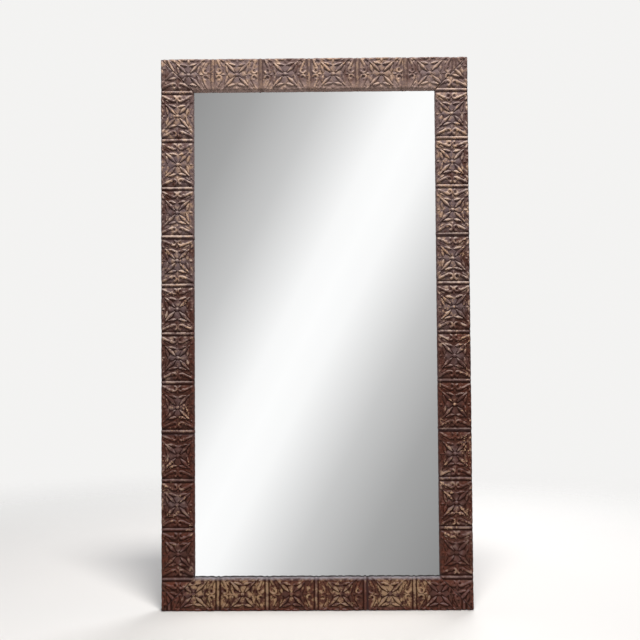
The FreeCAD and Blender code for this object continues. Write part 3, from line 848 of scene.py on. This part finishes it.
def driveFasteners(name, kind, places, seed, material, nodes):
    screw = makeScrew(kind)
    mesh = bpy.data.meshes.new(name)
    mesh.from_pydata(places, [], [])
    piece = newObject(name, mesh)
    runTree(piece, fastenerTree, {"Fastener": screw, "Seed": seed, "Material": material})
    bpy.data.objects.remove(screw)
    piece.data.shade_smooth()
    piece.data.set_sharp_from_angle(angle=screwHead["sharp"])
    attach(piece, "frame")
    if nodes:
        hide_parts(*nodes)


hangers = {"screwDrops": (0.0355, 0.0525), "screwSeat": 0.0012, "sharp": math.radians(40)}
boardScrews = {"inset": 0.014, "across": 3, "up": 5}
lapScrews = {"shares": ((0.30, 0.70), (0.70, 0.30))}
tacks = {"inset": 0.006, "back": coreBack + skin}


def boardScrewPlaces():
    inset = boardScrews["inset"]
    columns = evenPlaces(boardLow.x + inset, boardHigh.x - inset, boardScrews["across"])
    levels = evenPlaces(boardLow.z + inset, boardHigh.z - inset, boardScrews["up"])
    sides, ends = (columns[0], columns[-1]), (levels[0], levels[-1])
    return [(x, boardHigh.y, z) for x in columns for z in levels if x in sides or z in ends]


def lapScrewPlaces():
    places = []
    for shareX, shareZ in lapScrews["shares"]:
        x, z = outerX - shareX * tinSheet["face"], shareZ * tinSheet["face"]
        places += [(side * x, coreBack, level) for side in (-1, 1) for level in (z, outerTop - z)]
    return places


def tackPlaces():
    places = []
    line = tacks["inset"] - halfFace
    for strip in strips:
        along, across, origin = Vector(strip["along"]), Vector(strip["across"]), Vector(strip["origin"])
        spot = strip["firstBead"] + tinPattern["pitch"] / 2
        while spot < strip["open"]:
            place = origin + along * spot + across * line
            places.append((place.x, tacks["back"], place.z))
            spot += tinPattern["pitch"]
    return places


ringAxes = [Vector(joint["pos_m"]) for joint in frame["joints"]]
strapScrewPlaces = [
    (axis.x, coreBack + hangers["screwSeat"], axis.z - drop) for axis in ringAxes for drop in hangers["screwDrops"]]
driveFasteners("boardScrews", "board", boardScrewPlaces(), 3, zincSteel, ["board_screws"])
driveFasteners("strapScrews", "strap", strapScrewPlaces, 5, zincSteel, ["strap_screws"])
driveFasteners("lapScrews", "lap", lapScrewPlaces(), 7, zincSteel, ["lap_screws"])
driveFasteners("flangeTacks", "tack", tackPlaces(), 9, bluedSteel, [])
print("fasteners driven")


# strap hangers and their rings

strapSize = {
    "width": 0.016, "thickness": 0.0012, "bore": 0.00208, "seat": -0.00368, "length": 0.0605, "plateTop": -0.0035,
    "footTip": 0.08, "footSteps": 10, "plateSteps": 8, "rollTurns": (180.0, -100.0), "rollSteps": 29,
    "bevel": 0.0002, "bevelSegments": 2, "bevelAngle": math.radians(50),
}
ringSize = {
    "wire": 0.002, "halfWidth": 0.014, "corner": 0.0045, "side": 0.005,
    "sides": 16, "barSteps": 5, "bowSteps": 28, "cornerSteps": 8,
}


def loft(name, sections, closed):
    # skins rings of points one after another
    shape = bmesh.new()
    rings = [[shape.verts.new(point) for point in section] for section in sections]
    pairs = list(zip(rings, rings[1:])) + ([(rings[-1], rings[0])] if closed else [])
    count = len(rings[0])
    for one, two in pairs:
        for index in range(count):
            after = (index + 1) % count
            shape.faces.new((one[index], one[after], two[after], two[index]))
    if not closed:
        shape.faces.new(rings[0])
        shape.faces.new(rings[-1])
    bmesh.ops.recalc_face_normals(shape, faces=shape.faces)
    return shapeObject(name, shape)


def makeStrap(name, axis):
    size = strapSize
    half, thick = size["width"] / 2, size["thickness"]
    plateY, footZ = size["seat"] + thick / 2, half - size["length"]
    rollRadius = size["bore"] + thick / 2
    spots = []
    for index in range(size["footSteps"] + 1):  # rounded foot
        turn = quarterTurn * index / size["footSteps"]
        reach = max(half * math.sin(turn), half * size["footTip"])
        spots.append((plateY, footZ - half * math.cos(turn), reach))
    for share in evenPlaces(0.0, 1.0, size["plateSteps"])[1:]:  # flat plate
        spots.append((plateY, footZ * (1 - share) + size["plateTop"] * share, half))
    for turn in evenPlaces(*size["rollTurns"], size["rollSteps"]):  # rolled knuckle
        angle = math.radians(turn)
        spots.append((rollRadius * math.cos(angle), rollRadius * math.sin(angle), half))
    sections = []
    for index, (y, z, reach) in enumerate(spots):
        before, after = spots[max(index - 1, 0)], spots[min(index + 1, len(spots) - 1)]
        run = Vector((0.0, after[0] - before[0], after[1] - before[1])).normalized()
        out = Vector((0.0, run.z, -run.y)) * (thick / 2)
        centre = axis + Vector((0.0, y, z))
        wide = Vector((reach, 0.0, 0.0))
        sections.append([centre - wide - out, centre + wide - out, centre + wide + out, centre - wide + out])
    strap = loft(name, sections, False)
    edge = strap.modifiers.new("edge", "BEVEL")
    edge.width, edge.segments = size["bevel"], size["bevelSegments"]
    edge.limit_method, edge.angle_limit = "ANGLE", size["bevelAngle"]
    return strap


def makeRing(name, axis):
    size = ringSize
    half, corner = size["halfWidth"], size["corner"]
    barEnd, sideEnd = half - corner, -corner - size["side"]
    path = [(x, 0.0) for x in evenPlaces(-barEnd, barEnd, size["barSteps"])]
    for index in range(1, size["cornerSteps"] + 1):
        turn = quarterTurn * (1 - index / size["cornerSteps"])
        path.append((barEnd + corner * math.cos(turn), corner * math.sin(turn) - corner))
    for index in range(size["bowSteps"] + 1):
        turn = -math.pi * index / size["bowSteps"]
        path.append((half * math.cos(turn), sideEnd + half * math.sin(turn)))
    for index in range(size["cornerSteps"]):
        turn = math.pi - quarterTurn * index / size["cornerSteps"]
        path.append((corner * math.cos(turn) - barEnd, corner * math.sin(turn) - corner))
    turns = [2 * math.pi * step / size["sides"] for step in range(size["sides"])]
    back = Vector((0.0, 1.0, 0.0))
    sections = []
    for index, (x, z) in enumerate(path):
        before, after = path[index - 1], path[(index + 1) % len(path)]
        run = Vector((after[0] - before[0], 0.0, after[1] - before[1])).normalized()
        out = Vector((-run.z, 0.0, run.x))
        centre = axis + Vector((x, 0.0, z))
        sections.append([centre + (out * math.cos(turn) + back * math.sin(turn)) * size["wire"] for turn in turns])
    return loft(name, sections, True)


for side, axis in zip(("left", "right"), ringAxes):
    strap = makeStrap("strap_" + side, axis)
    ring = makeRing("ring_" + side, axis)
    for piece, body, node in (
            (strap, "frame", "hanger_strap_" + side), (ring, "ring_" + side, "hanger_ring_" + side)):
        piece.data.materials.append(zincSteel)
        piece.data.shade_smooth()
        piece.data.set_sharp_from_angle(angle=hangers["sharp"])
        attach(piece, body)
        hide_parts(node)
print("hangers hung")


# CAD pieces that keep their shape

keptFinishes = {
    "core_stile_left": uprightTimber, "core_stile_right": uprightTimber,
    "core_rail_top": levelTimber, "core_rail_bottom": levelTimber,
    "mirror_plate": silveredPlate, "backing_board": hardboard,
    "setting_blocks": blackRubber, "wall_bumpers": blackRubber,
}
for node, material in keptFinishes.items():
    mesh = frame["nodes"][node].data
    mesh.materials.clear()
    mesh.materials.append(material)
print("CAD pieces finished:", len(keptFinishes))


# floor, light and camera

stageLook = {
    "floor": (0.82, 0.805, 0.785, 1.0), "spot": (0.79, 0.775, 0.755, 1.0), "spotScale": 1.5, "roughness": 0.9,
    "radius": 14.0, "segments": 96, "fade": (1.0, 3.4),
}


def makeFloor():
    # a disc that thins out to the backdrop and isn't seen in the plate
    look = stageLook
    shape = bmesh.new()
    bmesh.ops.create_circle(shape, cap_ends=True, segments=look["segments"], radius=look["radius"])
    floor = shapeObject("floor", shape)
    material, tree, shader, place = newMaterial("paleFloor")
    colour = blended(tree, noise(tree, place, look["spotScale"]), look["floor"], look["spot"])
    feed(tree, shader.inputs["Base Color"], colour)
    shader.inputs["Roughness"].default_value = look["roughness"]
    clear = addNode(tree, "ShaderNodeBsdfTransparent")
    path = addNode(tree, "ShaderNodeLightPath").outputs
    away = Wire(tree, addNode(tree, "ShaderNodeVectorMath", {0: place}, operation="LENGTH").outputs["Value"])
    faded = away.smooth(*look["fade"]) * Wire(tree, path["Is Camera Ray"])
    hidden = highest(faded, Wire(tree, path["Is Glossy Ray"]))
    mixed = addNode(tree, "ShaderNodeMixShader", {0: hidden, 1: shader.outputs[0], 2: clear.outputs[0]})
    feed(tree, tree.nodes["Material Output"].inputs["Surface"], mixed.outputs[0])
    floor.data.materials.append(material)


bandTilt = math.radians(28)
worldLook = {
    "sky": (0.80, 0.86, 0.95, 1.0), "ground": (0.42, 0.38, 0.33, 1.0), "background": (0.90, 0.895, 0.885, 1.0),
    "skyRise": (-0.35, 0.6), "strength": 0.22,
    # soft white bands across grey, seen in the plate: direction of the change, its middle, and levels away from it
    "slope": (math.cos(bandTilt), 0.0, -math.sin(bandTilt)), "middle": -0.028,
    "bands": (
        (0.0, 1.04), (0.03, 1.0), (0.105, 0.61), (0.17, 0.40), (0.25, 0.27), (0.38, 0.30), (0.58, 0.85), (0.78, 0.40),
        (1.0, 0.27)),
}


def makeWorld():
    look = worldLook
    world = bpy.data.worlds.new("studio")
    scene.world = world
    world.use_nodes = True
    tree = world.node_tree
    direction = addNode(tree, "ShaderNodeTexCoord").outputs["Generated"]
    rise = split(tree, direction)[2]
    ambient = blended(tree, rise.smooth(*look["skyRise"]), look["ground"], look["sky"])
    across = addNode(tree, "ShaderNodeVectorMath", {0: direction, 1: look["slope"]}, operation="DOT_PRODUCT")
    off = (Wire(tree, across.outputs["Value"]) - look["middle"]).math("ABSOLUTE")
    band = addNode(tree, "ShaderNodeValToRGB", {0: off})
    stops = band.color_ramp.elements
    while len(stops) < len(look["bands"]):
        stops.new(0.5)
    for stop, (place, level) in zip(stops, look["bands"]):
        stop.position, stop.color = place, (level, level, level, 1.0)
    path = addNode(tree, "ShaderNodeLightPath").outputs
    seen = blended(tree, path["Is Glossy Ray"], look["background"], band.outputs[0])
    direct = highest(*[
        Wire(tree, path[label]) for label in ("Is Camera Ray", "Is Glossy Ray", "Is Transmission Ray")])
    backdrop = tree.nodes["Background"]
    feed(tree, backdrop.inputs["Color"], blended(tree, direct, ambient, seen))
    feed(tree, backdrop.inputs["Strength"], direct * (1.0 - look["strength"]) + look["strength"])


lamps = {
    "key": {
        "place": (0.25, -1.6, 4.9), "aim": (0.0, 0.0, 0.8), "size": 1.0, "power": 205.0, "colour": (1.0, 0.97, 0.94)},
    "rear": {
        "place": (1.2, 2.6, 2.6), "aim": (0.0, 0.0, 0.9), "size": 2.4, "power": 80.0, "colour": (0.97, 0.98, 1.0)},
}


def makeLamps():
    for name, look in lamps.items():
        lamp = bpy.data.lights.new(name, "AREA")
        lamp.shape, lamp.size = "DISK", look["size"]
        lamp.energy, lamp.color = look["power"], look["colour"]
        holder = newObject(name, lamp)
        holder.location = look["place"]
        aim = Vector(look["aim"]) - Vector(look["place"])
        holder.rotation_euler = aim.to_track_quat("-Z", "Y").to_euler()


cameraLook = {
    "place": (0.0374, -2.8, 0.8156), "aim": (-0.0084, 0.9995, 0.0310), "roll": -0.372, "lens": 50.0, "sensor": 36.0,
    "clipEnd": 100.0,
}


def makeCamera():
    look = cameraLook
    camera = bpy.data.cameras.new("camera")
    camera.lens, camera.sensor_width, camera.clip_end = look["lens"], look["sensor"], look["clipEnd"]
    holder = newObject("camera", camera)
    holder.location = look["place"]
    turn = Vector(look["aim"]).to_track_quat("-Z", "Y")
    holder.rotation_mode = "QUATERNION"
    holder.rotation_quaternion = turn @ Quaternion((0.0, 0.0, 1.0), math.radians(look["roll"]))
    scene.camera = holder


makeFloor()
makeWorld()
makeLamps()
makeCamera()
print("stage set")
